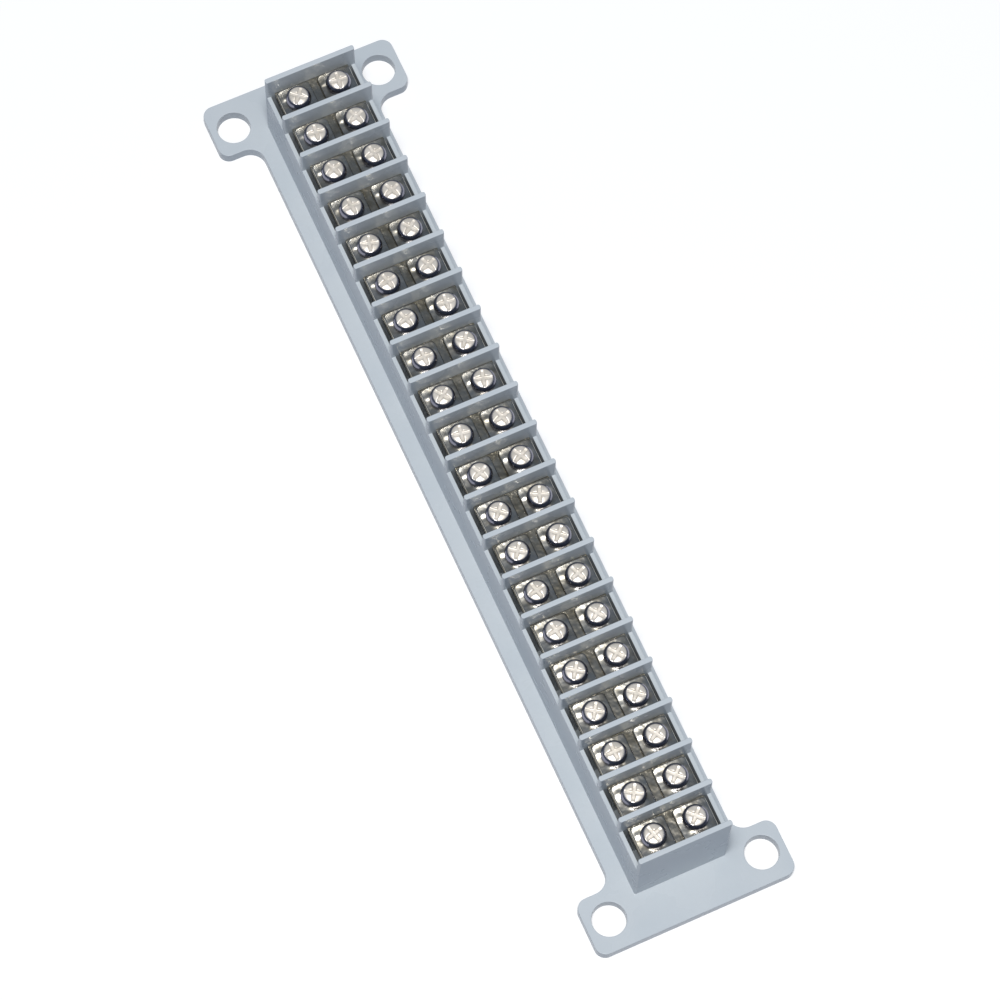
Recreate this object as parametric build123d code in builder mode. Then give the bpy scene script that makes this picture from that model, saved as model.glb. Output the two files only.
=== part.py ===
"""Terminal block: a strip of twenty poles with two rows of screws, millimetres.

Each pole is a compartment between two tall barriers. It holds a contact plate
that joins the pole's two screws, and each screw presses a square clamp plate
down on the wire. The moulding stands on a thin base with four drilled ears.

X runs along the strip, Y across it and Z up. The origin is at the centre of
the base, on the underside.
"""

import os

from build123d import *

# Poles: the pitch of the strip drives its length.
pole_pitch = 9.525
pole_count = 20

# Tower with the compartments.
overall_height = 26.0
tower_width = 20.85
barrier_thickness = 1.15
lip_thickness = 0.95
lip_height = 18.95

# Base plate: how far it stands out past the tower, and its four drilled ears.
plate_thickness = 3.0
end_ledge = 9.3
side_ledge = 3.625
ear_reach = 8.6
ear_length = 12.75
ear_corner_radius = 2.4
neck_radius = 3.7
hole_end_inset = 6.7
hole_side_inset = 5.1875
hole_diameter = 7.4

# Contact plate of a pole, pressed in between two barriers, and the ribs that carry it.
contact_end_gap = 0.825
contact_side_gap = 0.05
contact_thickness = 1.2
rib_width = 0.95
rib_end_inset = 1.3

# Screws with their square clamp plates.
clamp_end_inset = 0.1
clamp_gap = 1.7
clamp_side_gap = 0.5375
clamp_thickness = 1.2
clamp_hole_diameter = 3.4
thread_diameter = 3.0
thread_clearance = 0.05
screw_length = 8.0
head_diameter = 5.5
head_height = 2.4

# Round forms on the forty screws have few sides, so that the strip stays light.
head_sides = 28
round_sides = 8

# The moulding's sizes that follow from the ones above.
compartment_width = pole_pitch - barrier_thickness
compartment_length = tower_width - 2 * lip_thickness
tower_length = pole_pitch * pole_count + barrier_thickness
plate_length = tower_length + 2 * end_ledge
ledge_width = tower_width + 2 * side_ledge
ear_span = ledge_width + 2 * ear_reach
hole_spacing_x = plate_length - 2 * hole_end_inset
hole_spacing_y = ear_span - 2 * hole_side_inset

# The metal parts fill the compartment, less their gaps.
contact_length = compartment_length - 2 * contact_end_gap
contact_width = compartment_width - 2 * contact_side_gap
clamp_length = (contact_length - clamp_gap) / 2 - clamp_end_inset
clamp_width = compartment_width - 2 * clamp_side_gap
screw_spacing = clamp_length + clamp_gap

# Levels: the contact plate rests level with the lips, over a chamber that ends at the base plate.
contact_top = lip_height + contact_thickness
clamp_top = contact_top + clamp_thickness
chamber_depth = lip_height - plate_thickness
rib_length = contact_length - 2 * rib_end_inset


def pole_x(pole):
    """Middle of a pole along the strip, counted from 0 at the -X end."""
    return (pole - (pole_count - 1) / 2) * pole_pitch


pole_places = [(pole_x(pole), 0) for pole in range(pole_count)]


with BuildPart() as housing:
    # Base: the ledge runs the whole length, and a cross piece at each end makes the ears.
    with BuildSketch(Plane.XY):
        Rectangle(plate_length, ledge_width)
        with Locations((plate_length / 2 - ear_length / 2, 0), (ear_length / 2 - plate_length / 2, 0)):
            Rectangle(ear_length, ear_span)
        fillet(vertices().filter_by(lambda v: abs(v.Y) < ledge_width / 2 + 0.1), neck_radius)
        fillet(vertices().filter_by(lambda v: abs(v.Y) > ear_span / 2 - 0.1), ear_corner_radius)
        with GridLocations(hole_spacing_x, hole_spacing_y, 2, 2):
            Circle(hole_diameter / 2, mode=Mode.SUBTRACT)
    extrude(amount=plate_thickness)

    # Tower over the whole row of poles.
    with BuildSketch(Plane.XY.offset(plate_thickness)):
        Rectangle(tower_length, tower_width)
    extrude(amount=overall_height - plate_thickness)

    # Above the lips each compartment is open on both long sides.
    with BuildSketch(Plane.XY.offset(lip_height)):
        with Locations(*pole_places):
            Rectangle(compartment_width, tower_width + 2)
    extrude(amount=overall_height - lip_height, mode=Mode.SUBTRACT)

    # Chamber of each pole, between its lips and barriers, down to the base plate.
    with BuildSketch(Plane.XY.offset(plate_thickness)):
        with Locations(*pole_places):
            Rectangle(compartment_width, compartment_length)
    extrude(amount=chamber_depth, mode=Mode.SUBTRACT)

    # Two ribs along the barriers carry the contact plate, and leave both ends of the chamber open.
    with BuildSketch(Plane.XY.offset(plate_thickness)):
        with Locations(*pole_places):
            with GridLocations(compartment_width - rib_width, 0, 2, 1):
                Rectangle(rib_width, rib_length)
    extrude(amount=chamber_depth)

housing.part.label = "housing"


with BuildPart() as contact_plates:
    # One plate to a pole, with two tapped holes that its screws turn in.
    with BuildSketch(Plane.XY.offset(lip_height)):
        with Locations(*pole_places):
            Rectangle(contact_width, contact_length)
            with GridLocations(0, screw_spacing, 1, 2):
                RegularPolygon(thread_diameter / 2 + thread_clearance, round_sides, mode=Mode.SUBTRACT)
    extrude(amount=contact_thickness)

contact_plates.part.label = "contact_plates"


def make_clamp_screw(pole, side, name):
    """One screw with the square clamp plate that it carries, as two solids.

    The clamp plate lies on the contact plate, and the head lies on the clamp
    plate, so the pair is modelled with the terminal done up.
    """
    place = Location((pole_x(pole), side * screw_spacing / 2, 0))
    with BuildPart() as clamp:
        with BuildSketch(Plane.XY.offset(contact_top)):
            with Locations(place):
                Rectangle(clamp_width, clamp_length)
                RegularPolygon(clamp_hole_diameter / 2, round_sides, mode=Mode.SUBTRACT)
        extrude(amount=clamp_thickness)
    with BuildPart() as screw:
        with BuildSketch(Plane.XY.offset(clamp_top - screw_length)):
            with Locations(place):
                RegularPolygon(thread_diameter / 2, round_sides)
        extrude(amount=screw_length)
        with BuildSketch(Plane.XY.offset(clamp_top)):
            with Locations(place):
                RegularPolygon(head_diameter / 2, head_sides)
        extrude(amount=head_height)
    pair = Compound(label=name, children=[clamp.part, screw.part])
    return pair


clamp_screws = [
    make_clamp_screw(pole, side, f"screw_{row}_{pole + 1:02d}")
    for row, side in (("left", -1), ("right", 1))
    for pole in range(pole_count)
]

os.makedirs("parts", exist_ok=True)
for piece in [housing.part, contact_plates.part, *clamp_screws]:
    export_step(piece, f"parts/{piece.label}.step")
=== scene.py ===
import math

import bmesh
import bpy
import numpy as np
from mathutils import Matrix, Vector


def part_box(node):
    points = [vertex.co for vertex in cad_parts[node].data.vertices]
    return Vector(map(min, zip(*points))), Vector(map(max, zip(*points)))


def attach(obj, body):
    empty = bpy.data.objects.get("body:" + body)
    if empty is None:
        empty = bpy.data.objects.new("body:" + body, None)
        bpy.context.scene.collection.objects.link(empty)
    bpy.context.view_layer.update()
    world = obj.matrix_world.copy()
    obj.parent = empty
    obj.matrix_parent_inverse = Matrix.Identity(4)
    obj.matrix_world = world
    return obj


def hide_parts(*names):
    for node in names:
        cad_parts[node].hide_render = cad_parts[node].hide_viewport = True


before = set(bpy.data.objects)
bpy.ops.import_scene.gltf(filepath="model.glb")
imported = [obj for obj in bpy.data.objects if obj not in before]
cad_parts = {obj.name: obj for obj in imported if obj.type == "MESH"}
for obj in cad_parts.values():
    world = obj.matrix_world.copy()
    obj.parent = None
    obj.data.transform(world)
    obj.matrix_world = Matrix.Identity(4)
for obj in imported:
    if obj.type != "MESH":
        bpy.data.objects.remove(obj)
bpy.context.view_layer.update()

# Housing: one injection moulding in blue-grey plastic, with its base, ears, barriers and lips.
# The mould leaves a small radius on every edge, a larger one on the barriers' ends above the
# lips, and a satin skin with a soft gloss.

EDGE_RADIUS = 0.00016
EDGE_STEPS = 2
BARRIER_END_RADIUS = 0.00042
BARRIER_END_STEPS = 3
BARRIER_END_Y = 0.010425
# The contact plates lie level with the lips.
LIP_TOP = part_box("contact_plates")[0].z
CAD_SEAM = 2e-6
FLAT_ANGLE = math.radians(1)
SHARP_ANGLE = math.radians(35)
MOULDED_GREY = (0.545, 0.59, 0.625)
MOULDED_GREY_DEEP = (0.52, 0.57, 0.61)
MOULDED_GLOSS = 0.3
MOULDED_ROUGHNESS = 0.22
FLOW_ROUGHNESS = 0.1
FLOW_SCALE = 90.0
SKIN_SCALE = 2600.0
SKIN_DEPTH = 0.0001


class Sock:
    """A shader socket: arithmetic on it adds Math nodes, and node() adds any other node."""

    def __init__(self, tree, socket=None):
        self.tree, self.socket = tree, socket

    def node(self, kind, settings=None, inputs=None, out=0):
        """Adds a node, with its settings first and then the values or links of its sockets."""
        made = self.tree.nodes.new("ShaderNode" + kind)
        for name, value in (settings or {}).items():
            setattr(made, name, value)
        for name, value in (inputs or {}).items():
            target = made.inputs[name]
            if isinstance(value, Sock):
                self.tree.links.new(value.socket, target)
            elif target.type == "RGBA":
                target.default_value = (*value, 1.0)
            else:
                target.default_value = value
        return Sock(self.tree, made.outputs[out])

    def math(self, operation, *values):
        """Adds a Math node on these values."""
        return self.node("Math", {"operation": operation}, dict(enumerate(values)))

    def __add__(self, other):
        return self.math("ADD", self, other)

    def __mul__(self, other):
        return self.math("MULTIPLY", self, other)

    def __rsub__(self, other):
        return self.math("SUBTRACT", other, self)

    __radd__ = __add__
    __rmul__ = __mul__

    def rise(self, low, high):
        """Smooth step from 0 at low to 1 at high."""
        return self.node(
            "MapRange",
            {"interpolation_type": "SMOOTHSTEP"},
            {"Value": self, "From Min": low, "From Max": high},
        )

    def between(self, first, second):
        """The first colour where this is 0, and the second where it is 1."""
        return self.node("Mix", {"data_type": "RGBA"}, {0: self, 6: first, 7: second}, out=2)

    def grain(self, scale, detail=2.0):
        """Noise between 0 and 1 at this position, with about scale features to the metre."""
        return self.node("TexNoise", {}, {"Vector": self, "Scale": scale, "Detail": detail})

    def bump(self, strength, distance):
        """Normal of a surface that this height lifts by up to distance."""
        return self.node("Bump", {}, {"Strength": strength, "Distance": distance, "Height": self})


def finish(name, shade):
    """A material whose surface is what shade() makes of the object-space position."""
    material = bpy.data.materials.new(name)
    material.use_nodes = True
    tree = material.node_tree
    tree.nodes.clear()
    output = tree.nodes.new("ShaderNodeOutputMaterial")
    surface = shade(Sock(tree).node("TexCoord", out=3))
    tree.links.new(surface.socket, output.inputs["Surface"])
    return material


def moulded_plastic(place):
    """Grey plastic with a faint flow pattern, and a fine grain that breaks up its gloss."""
    flow = place.grain(FLOW_SCALE, 3.0)
    skin = place.grain(SKIN_SCALE)
    return place.node(
        "BsdfPrincipled",
        {},
        {
            "Base Color": flow.rise(0.3, 0.7).between(MOULDED_GREY_DEEP, MOULDED_GREY),
            "Roughness": flow * FLOW_ROUGHNESS + MOULDED_ROUGHNESS,
            "Specular IOR Level": MOULDED_GLOSS,
            "Normal": skin.bump(0.05, SKIN_DEPTH),
        },
    )


def softened_copy(node, name, radius):
    """The CAD node's mesh with its doubles merged, its flat faces whole and its edges rounded."""
    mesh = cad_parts[node].data.copy()
    mesh.name = name
    mesh.materials.clear()
    work = bmesh.new()
    work.from_mesh(mesh)
    bmesh.ops.remove_doubles(work, verts=work.verts, dist=CAD_SEAM)
    bmesh.ops.dissolve_limit(work, angle_limit=FLAT_ANGLE, verts=work.verts, edges=work.edges)
    work.to_mesh(mesh)
    work.free()
    mesh.shade_smooth()
    piece = bpy.data.objects.new(name, mesh)
    bpy.context.collection.objects.link(piece)
    rounding = piece.modifiers.new("edge radius", "BEVEL")
    rounding.width = radius
    rounding.segments = EDGE_STEPS
    rounding.limit_method = "ANGLE"
    rounding.angle_limit = SHARP_ANGLE
    evening = piece.modifiers.new("flat faces stay flat", "WEIGHTED_NORMAL")
    evening.keep_sharp = False
    return piece


def mark_barrier_ends(mesh):
    """Bevel weight 1 on the upright edges of the barriers above the lips, and 0 elsewhere."""
    points = np.empty(3 * len(mesh.vertices))
    mesh.vertices.foreach_get("co", points)
    ends = np.empty(2 * len(mesh.edges), dtype=int)
    mesh.edges.foreach_get("vertices", ends)
    first, last = np.moveaxis(points.reshape(-1, 3)[ends.reshape(-1, 2)], 1, 0)
    upright = np.all(np.isclose(first[:, :2], last[:, :2], atol=1e-6), axis=1)
    outer = np.isclose(np.abs(first[:, 1]), BARRIER_END_Y, atol=1e-5)
    above = np.maximum(first[:, 2], last[:, 2]) > LIP_TOP + 1e-4
    weight = mesh.attributes.new("bevel_weight_edge", "FLOAT", "EDGE")
    weight.data.foreach_set("value", (upright & outer & above).astype(float))


# The barriers' ends are rounded before the other edges, so that modifier moves to the front.
housing = softened_copy("housing", "housing_moulding", EDGE_RADIUS)
mark_barrier_ends(housing.data)
rounding = housing.modifiers.new("barrier end radius", "BEVEL")
rounding.width = BARRIER_END_RADIUS
rounding.segments = BARRIER_END_STEPS
rounding.limit_method = "WEIGHT"
housing.modifiers.move(len(housing.modifiers) - 1, 0)
housing.data.materials.append(finish("moulded plastic", moulded_plastic))
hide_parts("housing")
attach(housing, "strip")

# Contact plates: one nickel-plated brass plate on each pole's ribs, which joins its two screws.
# They are stamped and tumbled, so their edges are soft and their faces duller than the screws.

CONTACT_EDGE_RADIUS = 0.00012
CONTACT_BRIGHT = (0.44, 0.41, 0.345)
CONTACT_DULL = (0.26, 0.235, 0.18)
CONTACT_ROUGHNESS = 0.17
CLOUD_ROUGHNESS = 0.14
CLOUD_SCALE = 420.0
DENT_SCALE = 700.0
DENT_DEPTH = 0.00009


def plating(bright, dull, roughness):
    """Shading of nickel plating: bright metal under a clouded film, on a face that is a little wavy."""

    def shade(place):
        cloud = place.grain(CLOUD_SCALE, 3.0)
        return place.node(
            "BsdfPrincipled",
            {},
            {
                "Base Color": cloud.rise(0.35, 0.72).between(bright, dull),
                "Metallic": 1.0,
                "Roughness": cloud * CLOUD_ROUGHNESS + roughness,
                "Normal": place.grain(DENT_SCALE, 1.0).bump(1.0, DENT_DEPTH),
            },
        )

    return shade


contacts = softened_copy("contact_plates", "contact_plate_row", CONTACT_EDGE_RADIUS)
contact_shade = plating(CONTACT_BRIGHT, CONTACT_DULL, CONTACT_ROUGHNESS)
contacts.data.materials.append(finish("contact plating", contact_shade))
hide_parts("contact_plates")
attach(contacts, "strip")

# Clamp plates: a square of nickel-plated steel on each screw, which presses the wire down.
# It is stamped into a shallow saddle, with small humps that grip the wire, and then tumbled.


def middle_and_half(node):
    """Middle of a CAD node's box, and half of the box's size."""
    low, high = (np.array(corner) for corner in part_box(node))
    return (low + high) / 2, (high - low) / 2


SCREWS = sorted(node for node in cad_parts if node.startswith("screw_"))
CLAMP_HALF = middle_and_half(SCREWS[0])[1][:2]
CLAMP_CORNER = 0.0008
CLAMP_HOLE = 0.0017
CLAMP_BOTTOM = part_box("contact_plates")[1].z
CLAMP_THICKNESS = 0.0008
SIDE_RISE = 0.00022
SIDE_BEND = 0.0009
SIDE_CURL = 1.3
ARCH_RISE = 0.00022
# A hump's place along the strip and out from the screw, its width, length and rise.
HUMPS = ((-0.0015, 0.0027, 0.0006, 0.001, 0.00014), (0.00165, 0.0013, 0.0008, 0.0008, 0.00022))
CLAMP_COLUMNS = 64
FACE_RINGS = 13
EDGE_RINGS = 7
EDGE_START = 0.9
HOLE_RIM = 0.75
CLAMP_BRIGHT = (0.51, 0.49, 0.44)
CLAMP_DULL = (0.33, 0.305, 0.25)
CLAMP_ROUGHNESS = 0.2
SEAM = 1e-6


def smooth(value, low, high):
    """Cubic rise from 0 at low to 1 at high, share ** 2 * (3 - 2 * share)."""
    share = np.clip((value - low) / (high - low), 0, 1)
    return share * share * (3 - 2 * share)


def clamp_plate_points():
    """Grid of points of a clamp plate round the Z axis, closed both ways, its underside at 0.

    Rings run from the hole out over the top, round the edge and back below. A ring at share s
    lies at circle + (square with round corners - circle) * s, and the edges are half ellipses.
    The sides lift it by rise * ((|x| - bend) / (half - bend)) ** curl, the arch across them by
    rise * (1 - (y / half) ** 2), and a hump by rise * exp(-(x / wide) ** 2 - (y / long) ** 2).
    """
    turn = np.linspace(0, 2 * np.pi, CLAMP_COLUMNS, endpoint=False)
    ray = np.stack([np.cos(turn), np.sin(turn)], axis=-1)
    reach = ray / np.max(np.abs(ray) / CLAMP_HALF, axis=-1, keepdims=True)
    core = np.clip(reach, CLAMP_CORNER - CLAMP_HALF, CLAMP_HALF - CLAMP_CORNER)
    away = reach - core
    square = core + CLAMP_CORNER * away / np.maximum(np.linalg.norm(away, axis=-1, keepdims=True), 1e-9)
    bend = np.linspace(0, np.pi, EDGE_RINGS + 2)[1:-1]
    over = np.linspace(0, EDGE_START, FACE_RINGS)
    share = np.concatenate([over, EDGE_START + (1 - EDGE_START) * np.sin(bend), over[::-1]])
    side = np.concatenate([np.ones(FACE_RINGS), np.cos(bend), -np.ones(FACE_RINGS)])
    side[[0, -1]] = [HOLE_RIM, -HOLE_RIM]
    ring = ray * CLAMP_HOLE * (1 - share[:, None, None]) + square * share[:, None, None]
    x, y = np.abs(ring[..., 0]), np.abs(ring[..., 1])
    lift = SIDE_RISE * np.clip((x - SIDE_BEND) / (CLAMP_HALF[0] - SIDE_BEND), 0, 1) ** SIDE_CURL
    lift += ARCH_RISE * (1 - (y / CLAMP_HALF[1]) ** 2)
    for along, out, wide, long, rise in HUMPS:
        lift += rise * np.exp(-(((ring[..., 0] - along) / wide) ** 2) - ((y - out) / long) ** 2)
    height = CLAMP_THICKNESS * (1 + side[:, None]) / 2 + lift
    return np.concatenate([ring, height[..., None]], axis=-1)


def mesh_of(name, points, quads):
    """Mesh of the points and quads, with doubles merged and its faces pointing outwards."""
    mesh = bpy.data.meshes.new(name)
    mesh.from_pydata(points.reshape(-1, 3).tolist(), [], quads.reshape(-1, 4).tolist())
    work = bmesh.new()
    work.from_mesh(mesh)
    bmesh.ops.remove_doubles(work, verts=work.verts, dist=SEAM)
    bmesh.ops.recalc_face_normals(work, faces=work.faces)
    work.to_mesh(mesh)
    work.free()
    mesh.shade_smooth()
    return mesh


def quads_round(rows, columns, first=0, close_rows=False):
    """Quads of a grid whose columns close on themselves, and its rows too if asked."""
    here = first + np.arange(rows * columns).reshape(rows, columns)
    after = np.roll(here, -1, axis=0)
    if not close_rows:
        here, after = here[:-1], after[:-1]
    corners = [here, np.roll(here, -1, axis=1), np.roll(after, -1, axis=1), after]
    return np.stack(corners, axis=-1).reshape(-1, 4)


def on_axis(screw, height):
    """The point on a screw's axis at this height."""
    x, y, _ = middle_and_half(screw)[0]
    return np.array([x, y, height])


def add_piece(mesh, material, screw):
    """Puts a finished mesh into the scene for a screw's node, and lets it ride on the screw's body."""
    piece = bpy.data.objects.new(mesh.name, mesh)
    bpy.context.collection.objects.link(piece)
    mesh.materials.append(material)
    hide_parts(screw)
    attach(piece, screw)


clamp_points = clamp_plate_points()
clamp_quads = quads_round(*clamp_points.shape[:2], close_rows=True)
clamp_plating = finish("clamp plating", plating(CLAMP_BRIGHT, CLAMP_DULL, CLAMP_ROUGHNESS))
for screw in SCREWS:
    name = screw.replace("screw", "clamp_plate")
    mesh = mesh_of(name, clamp_points + on_axis(screw, CLAMP_BOTTOM), clamp_quads)
    add_piece(mesh, clamp_plating, screw)

# Screws: pan head machine screws of nickel-plated steel, with a slot and a cross recess in one.
# The head is cold formed and tumbled, so its rim and the recess are soft, and the thread is rolled.

HEAD_RADIUS = 0.00275
HEAD_HEIGHT = 0.0024
HEAD_SIDE = 0.0008
HEAD_FLAT = 0.00192
DOME_RADIUS = 0.0068
HEAD_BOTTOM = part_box(SCREWS[0])[1].z - HEAD_HEIGHT
CROSS_REACH = 0.0023
CROSS_END = 0.8
CROSS_WIDTH = 0.00075
CROSS_DEPTH = 0.00045
SLOT_WIDTH = 0.0007
SLOT_DEPTH = 0.0003
WALL_FOOT = 0.42
WALL_TOP = 0.62
# Grid lines over the recess, in half widths of a bar: they crowd at its walls.
RECESS_LINES = np.array([0.0, 0.55, 0.84, 1.08, 1.4])
OUTER_START = 0.999 * CROSS_WIDTH
OUTER_LINES = 11
# From the rim down to the axis: share of the radius, and share of the height of the side.
HEAD_PROFILE = np.array([(1, 1), (1, 0.5), (1, 0.12), (0.96, 0), (0.5, 0), (0, 0)])
THREAD_RADIUS = 0.0015
THREAD_PITCH = 0.0005
THREAD_DEPTH = 0.00022
THREAD_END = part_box(SCREWS[0])[0].z
THREAD_COLUMNS = 20
THREAD_STEPS = 4
TIP_SHARE = 0.6
TIP_START = -0.0004
TIP_LENGTH = 0.001
SCREW_TOP = (0.86, 0.80, 0.72)
SCREW_TOP_DULL = (0.76, 0.70, 0.61)
# Painted shade: the dark blue-grey of a head's side and rim stands in for the dark that they reflect.
SCREW_SIDE_PAINTED_SHADE = (0.22, 0.22, 0.27)
SCREW_ROUGHNESS = 0.2
SCREW_CLOUD_ROUGHNESS = 0.1
SCREW_CLOUD_SCALE = 700.0
SCREW_DENT_SCALE = 1400.0
SCREW_DENT_DEPTH = 0.00004
WEAR_AND_SHADE_FADE = 0.0003
WORN_ROUGHNESS = 0.12
WORN_FILM = 0.6
TURN_SEED = 20


def groove(across, width):
    """1 inside a groove and 0 outside it, 1 - smooth(|across|) between its walls' feet and tops."""
    return 1 - smooth(np.abs(across), WALL_FOOT * width, WALL_TOP * width)


def head_top_points():
    """Grid of points over the top of a pan head, a square grid pulled out to a disc.

    The height is a low dome, top - r ** 2 / (2 * radius), whose shoulder falls to the side on a
    quarter of an ellipse. The recess is the deeper of a slot and two crossed bars with sloping ends.
    """
    outer = np.linspace(math.asin(OUTER_START / HEAD_RADIUS), np.pi / 2, OUTER_LINES)
    half = np.concatenate([RECESS_LINES * CROSS_WIDTH / 2, HEAD_RADIUS * np.sin(outer)])
    line = np.concatenate([-half[:0:-1], half])
    x, y = np.meshgrid(line, line, indexing="ij")
    largest = np.maximum(np.abs(x), np.abs(y))
    pull = largest / np.maximum(np.hypot(x, y), 1e-9) - 1
    scale = 1 + pull * smooth(largest, HEAD_RADIUS / 2, HEAD_RADIUS)
    x, y = x * scale, y * scale
    out = np.minimum(np.hypot(x, y), HEAD_RADIUS)
    drop = HEAD_HEIGHT - HEAD_SIDE - HEAD_RADIUS**2 / (2 * DOME_RADIUS)
    share = np.clip((out - HEAD_FLAT) / (HEAD_RADIUS - HEAD_FLAT), 0, 1)
    dome = HEAD_HEIGHT - out**2 / (2 * DOME_RADIUS) - drop * (1 - np.sqrt(1 - share**2))
    recess = SLOT_DEPTH * groove(y, SLOT_WIDTH)
    for along, across in ((x, y), (y, x)):
        slope = 1 - np.clip((np.abs(along) / CROSS_REACH - CROSS_END) / (1 - CROSS_END), 0, 1)
        recess = np.maximum(recess, CROSS_DEPTH * groove(across, CROSS_WIDTH) * slope)
    return np.stack([x, y, np.minimum(dome, HEAD_HEIGHT - recess)], axis=-1)


def thread_points():
    """Grid of points of the threaded shank, closed to a point at both ends.

    The radius is the outer one less depth times a triangle wave of z / pitch + angle / turn.
    """
    turn = np.linspace(0, 2 * np.pi, THREAD_COLUMNS, endpoint=False)
    z = np.arange(THREAD_END, HEAD_BOTTOM + HEAD_SIDE / 2, THREAD_PITCH / THREAD_STEPS)
    wave = np.abs(2 * ((z[:, None] / THREAD_PITCH + turn / (2 * np.pi)) % 1) - 1)
    taper = smooth(z - THREAD_END, TIP_START, TIP_START + TIP_LENGTH)[:, None]
    radius = (THREAD_RADIUS - THREAD_DEPTH * wave) * (TIP_SHARE + (1 - TIP_SHARE) * taper)
    radius = np.concatenate([0 * radius[:1], radius, 0 * radius[:1]])
    z = np.concatenate([z[:1], z, z[-1:]])[:, None] + 0 * radius
    return np.stack([radius * np.cos(turn), radius * np.sin(turn), z - HEAD_BOTTOM], axis=-1)


def screw_points_and_quads():
    """A whole screw round the Z axis, the underside of its head at height 0.

    The rim of the top's grid, times the head's profile, gives the side and the underside.
    """
    top = head_top_points()
    rows, columns, _ = top.shape
    here = np.arange(rows * columns).reshape(rows, columns)
    corners = [here[:-1, :-1], here[1:, :-1], here[1:, 1:], here[:-1, 1:]]
    top = top.reshape(-1, 3)
    rim = top[np.concatenate([here[:-1, 0], here[-1, :-1], here[:0:-1, -1], here[0, :0:-1]])]
    below = rim * HEAD_PROFILE[:, None, [0, 0, 1]]
    thread = thread_points()
    below_first = len(top)
    thread_first = below_first + below.shape[0] * below.shape[1]
    quads = [
        np.stack(corners, axis=-1).reshape(-1, 4),
        quads_round(*below.shape[:2], first=below_first),
        quads_round(*thread.shape[:2], first=thread_first),
    ]
    return np.concatenate([top, below.reshape(-1, 3), thread.reshape(-1, 3)]), np.concatenate(quads)


def turned(points, angle):
    """The points turned about the Z axis, each a row times the matrix of the turn."""
    cos, sin = np.cos(angle), np.sin(angle)
    return points @ np.array([[cos, sin, 0], [-sin, cos, 0], [0, 0, 1]])


def mark_wear_and_rim_shade(mesh, middle):
    """Attribute for the tumbled top and the painted shade on the side: (1 - smooth(r)) * smooth(z), so
    1 over a head's top and 0 on its side, where the side and rim are painted dark as shade.
    """
    points = np.empty(3 * len(mesh.vertices))
    mesh.vertices.foreach_get("co", points)
    x, y, z = (points.reshape(-1, 3) - middle).T
    wear_and_rim_shade = (1 - smooth(np.hypot(x, y), HEAD_FLAT, HEAD_FLAT + WEAR_AND_SHADE_FADE)) * smooth(z, 0, HEAD_SIDE)
    mesh.attributes.new("wear_and_rim_shade", "FLOAT", "POINT").data.foreach_set("value", wear_and_rim_shade)


def screw_plating(place):
    """Nickel that tumbling has left pale and matt on the top, and bright lower down, where the side and
    rim are painted dark as shade.
    """
    top = place.node("Attribute", {"attribute_name": "wear_and_rim_shade"}, out=2)
    cloud = place.grain(SCREW_CLOUD_SCALE, 3.0)
    pale = cloud.rise(0.35, 0.7).between(SCREW_TOP_DULL, SCREW_TOP)
    return place.node(
        "BsdfPrincipled",
        {},
        {
            # Painted shade: the side and rim take the dark colour, and the tumbled top takes the pale
            # one.
            "Base Color": top.between(SCREW_SIDE_PAINTED_SHADE, pale),
            "Metallic": 1.0 - top * WORN_FILM,
            "Roughness": top * WORN_ROUGHNESS + cloud * SCREW_CLOUD_ROUGHNESS + SCREW_ROUGHNESS,
            "Normal": place.grain(SCREW_DENT_SCALE).bump(1.0, SCREW_DENT_DEPTH),
        },
    )


screw_points, screw_quads = screw_points_and_quads()
screw_metal = finish("screw plating", screw_plating)
angles = np.random.default_rng(TURN_SEED).uniform(0, np.pi, len(SCREWS))
for screw, angle in zip(SCREWS, angles):
    middle = on_axis(screw, HEAD_BOTTOM)
    mesh = mesh_of(f"pan_head_{screw}", turned(screw_points, angle) + middle, screw_quads)
    mark_wear_and_rim_shade(mesh, middle)
    add_piece(mesh, screw_metal, screw)

# Studio: a plain white floor under one soft lamp almost overhead, and an even pale sky.
# The shading of the walls and the highlights on the metal say where the lamp stands.

FLOOR_HALF = 6.0
FLOOR_WHITE = (0.80, 0.80, 0.80)
FLOOR_GLOW = 0.25
FLOOR_SHADE = (0.28, 0.31, 0.37)
LAMP_COLOUR = (1.0, 0.985, 0.96)
LAMP_DIRECTION = Vector((0.165, -0.115, 1.0)).normalized()
LAMP_DISTANCE = 1.6
LAMP_SIZE = 0.4
LAMP_WATTS = 22
SKY = (0.70, 0.90, 1.24)
SKY_STRENGTH = 0.17

corners = [(-FLOOR_HALF, -FLOOR_HALF, 0), (FLOOR_HALF, -FLOOR_HALF, 0)]
corners += [(FLOOR_HALF, FLOOR_HALF, 0), (-FLOOR_HALF, FLOOR_HALF, 0)]
floor = bpy.data.objects.new("floor", bpy.data.meshes.new("floor"))
floor.data.from_pydata(corners, [], [(0, 1, 2, 3)])
bpy.context.collection.objects.link(floor)


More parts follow.
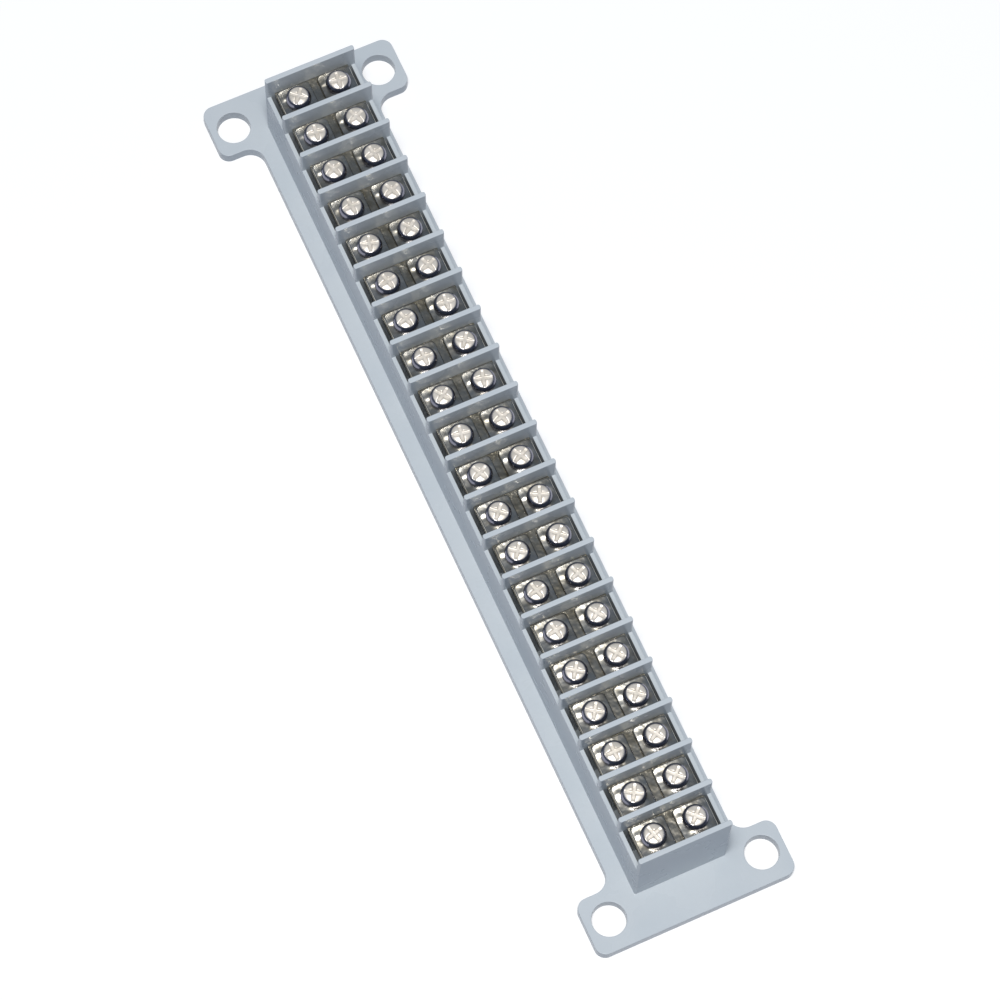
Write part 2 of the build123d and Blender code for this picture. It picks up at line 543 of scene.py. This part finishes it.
def floor_paint(place):
    """White to look at and in reflections, with the object's shadow on it.

    To all other light it is a grey that throws little back on the object.
    """
    path = place.tree.nodes.new("ShaderNodeLightPath").outputs
    seen, mirrored, through = [
        Sock(place.tree, path[f"Is {kind} Ray"]) for kind in ("Camera", "Glossy", "Transmission")
    ]
    shade = place.node("BsdfDiffuse", {}, {"Color": FLOOR_SHADE})
    paint = place.node("BsdfDiffuse", {}, {"Color": FLOOR_WHITE})
    glow = place.node("Emission", {}, {"Color": (1.0, 1.0, 1.0), "Strength": FLOOR_GLOW})
    white = place.node("AddShader", {}, {0: paint, 1: glow})
    return place.node("MixShader", {}, {0: seen + mirrored + through, 1: shade, 2: white})


floor.data.materials.append(finish("floor paint", floor_paint))

lamp = bpy.data.objects.new("lamp", bpy.data.lights.new("lamp", "AREA"))
lamp.data.shape = "DISK"
lamp.data.size = LAMP_SIZE
lamp.data.energy = LAMP_WATTS
lamp.data.color = LAMP_COLOUR
lamp.location = LAMP_DIRECTION * LAMP_DISTANCE
lamp.rotation_euler = LAMP_DIRECTION.to_track_quat("Z", "Y").to_euler()
bpy.context.collection.objects.link(lamp)

world = bpy.data.worlds.new("sky")
bpy.context.scene.world = world
world.use_nodes = True
world.node_tree.nodes.clear()
sky = Sock(world.node_tree).node("Background", {}, {"Color": SKY, "Strength": SKY_STRENGTH})
output = world.node_tree.nodes.new("ShaderNodeOutputWorld")
world.node_tree.links.new(sky.socket, output.inputs["Surface"])

bpy.context.scene.view_settings.view_transform = "Standard"

# Camera: almost above the strip and past its near end, with a long lens.
# The place and the turn are the ones that give the photograph's perspective.

CAMERA_PLACE = (0.281675, -0.140626, 0.838181)
CAMERA_TURN = (0.82645383, 0.15292051, 0.08874342, 0.53452221)
CAMERA_LENS = 150.1
SENSOR_WIDTH = 36.0
CLIP_END = 20.0

camera = bpy.data.objects.new("camera", bpy.data.cameras.new("camera"))
camera.data.lens = CAMERA_LENS
camera.data.sensor_width = SENSOR_WIDTH
camera.data.clip_end = CLIP_END
camera.location = CAMERA_PLACE
camera.rotation_mode = "QUATERNION"
camera.rotation_quaternion = CAMERA_TURN
bpy.context.collection.objects.link(camera)
bpy.context.scene.camera = camera
